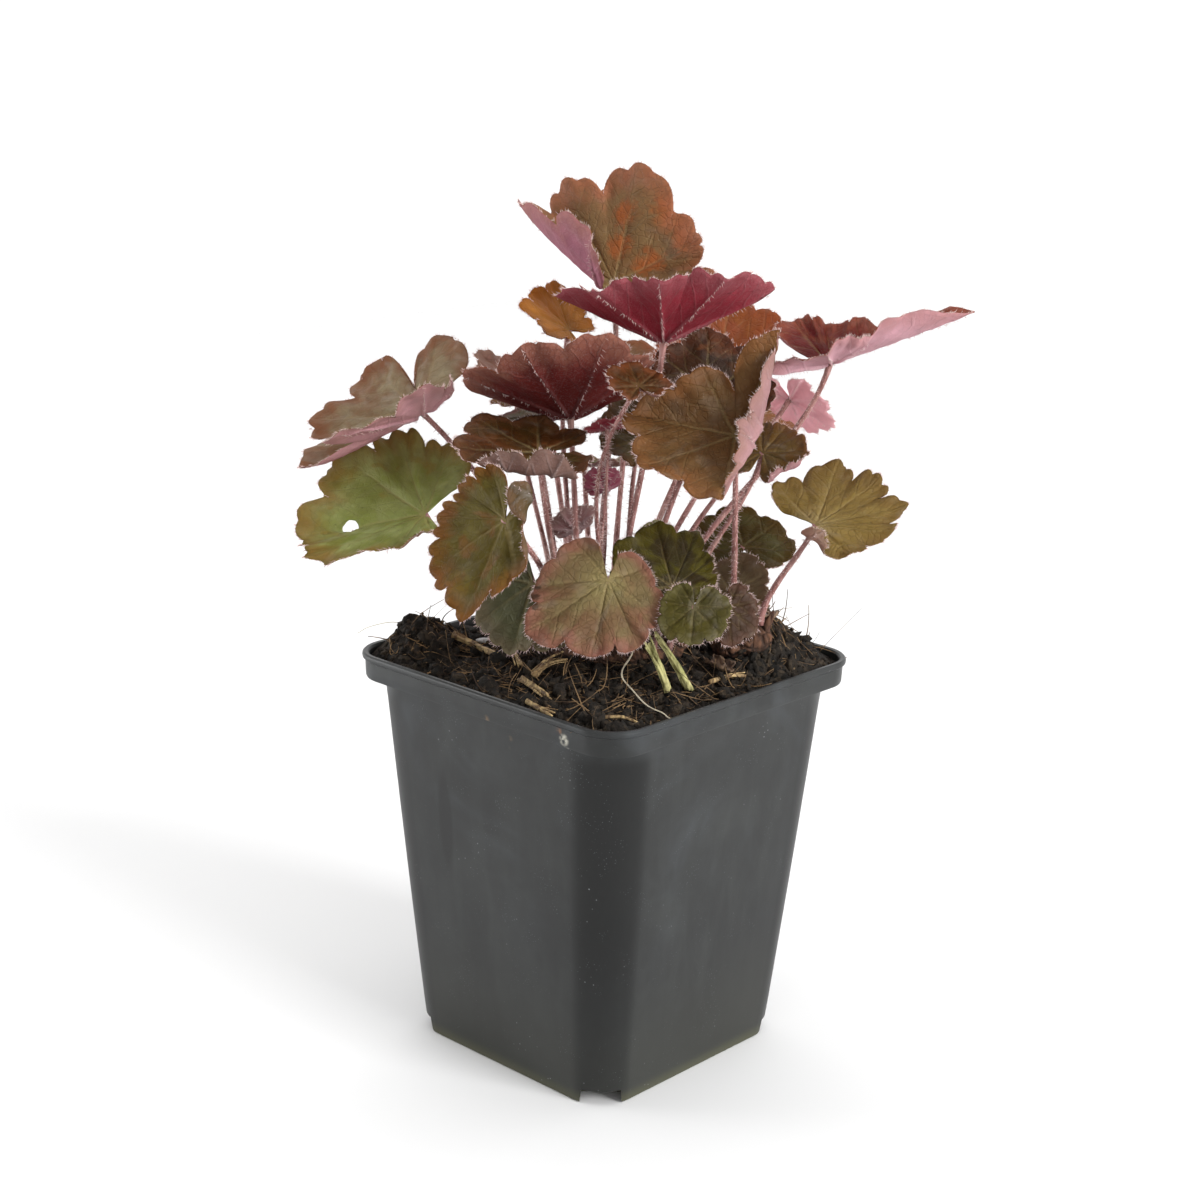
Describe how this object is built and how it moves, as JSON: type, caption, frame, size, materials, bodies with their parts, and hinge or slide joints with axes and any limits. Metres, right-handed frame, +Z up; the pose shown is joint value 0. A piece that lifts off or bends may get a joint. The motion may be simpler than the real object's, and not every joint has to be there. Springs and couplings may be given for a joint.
{
  "type": "heuchera plant in nursery pot",
  "caption": "Young heuchera with lobed bronze, crimson and olive leaves on slender petioles, growing from a woody crown in a square tapered nursery pot of peat",
  "frame": {"origin": "centre of the pot's flat underside", "axes": "+Z up through the plant; +X and +Y square to two neighbouring side walls of the pot; the plant leans to the corner between -Y and +X"},
  "size_m": [0.1263, 0.1388, 0.2151],
  "materials": {
    "pot_plastic": "moulded, semi-matte, dusty",
    "soil_peat": "moist fibrous peat",
    "crown_wood": "rough bark and old leaf bases",
    "leaf_bronze": "satin leaf, olive brown with orange margins",
    "leaf_crimson": "satin leaf, crimson to dusty pink underside",
    "leaf_green": "satin leaf, olive green with brown margins",
    "leaf_dark": "satin leaf, dark brown green",
    "dry_straw": "dry and fibrous"
  },
  "bodies": {
    "root": {"pot": "pot_plastic", "soil": "soil_peat", "crown_main": "crown_wood", "crown_side": "crown_wood", "leaf_top": "leaf_bronze", "leaf_small_gold": "leaf_bronze", "leaf_crimson": "leaf_crimson", "leaf_right_pink": "leaf_crimson", "leaf_back_pink": "leaf_bronze", "leaf_maroon": "leaf_crimson", "leaf_left_folded": "leaf_bronze", "leaf_left_green": "leaf_green", "leaf_hanging": "leaf_green", "leaf_front": "leaf_green", "leaf_brown": "leaf_bronze", "leaf_mid_brown": "leaf_bronze", "leaf_dark_folded": "leaf_dark", "leaf_dark_edge": "leaf_dark", "leaf_small_brown": "leaf_bronze", "leaf_olive_mid": "leaf_green", "leaf_dark_right": "leaf_dark", "leaf_right_yellow": "leaf_green", "leaf_back_green": "leaf_green", "leaf_low_olive": "leaf_green", "leaf_withered": "leaf_dark", "leaf_wilted": "leaf_dark", "leaf_low_dark": "leaf_dark", "leaf_base_pale": "leaf_green", "leaf_back_rose": "leaf_crimson", "leaf_back_red": "leaf_crimson", "leaf_behind_maroon": "leaf_green", "leaf_young_pink": "leaf_crimson", "leaf_young_grey": "leaf_green", "leaf_young_green": "leaf_green", "leaf_rear_left": "leaf_green", "leaf_rear_middle": "leaf_green", "leaf_rear_right": "leaf_green", "leaf_rear_low": "leaf_green", "straw_long": "dry_straw", "straw_short": "dry_straw", "straw_front": "dry_straw", "straw_low": "dry_straw", "cut_stalk_left": "dry_straw", "cut_stalk_right": "dry_straw"}
  },
  "joints": []
}
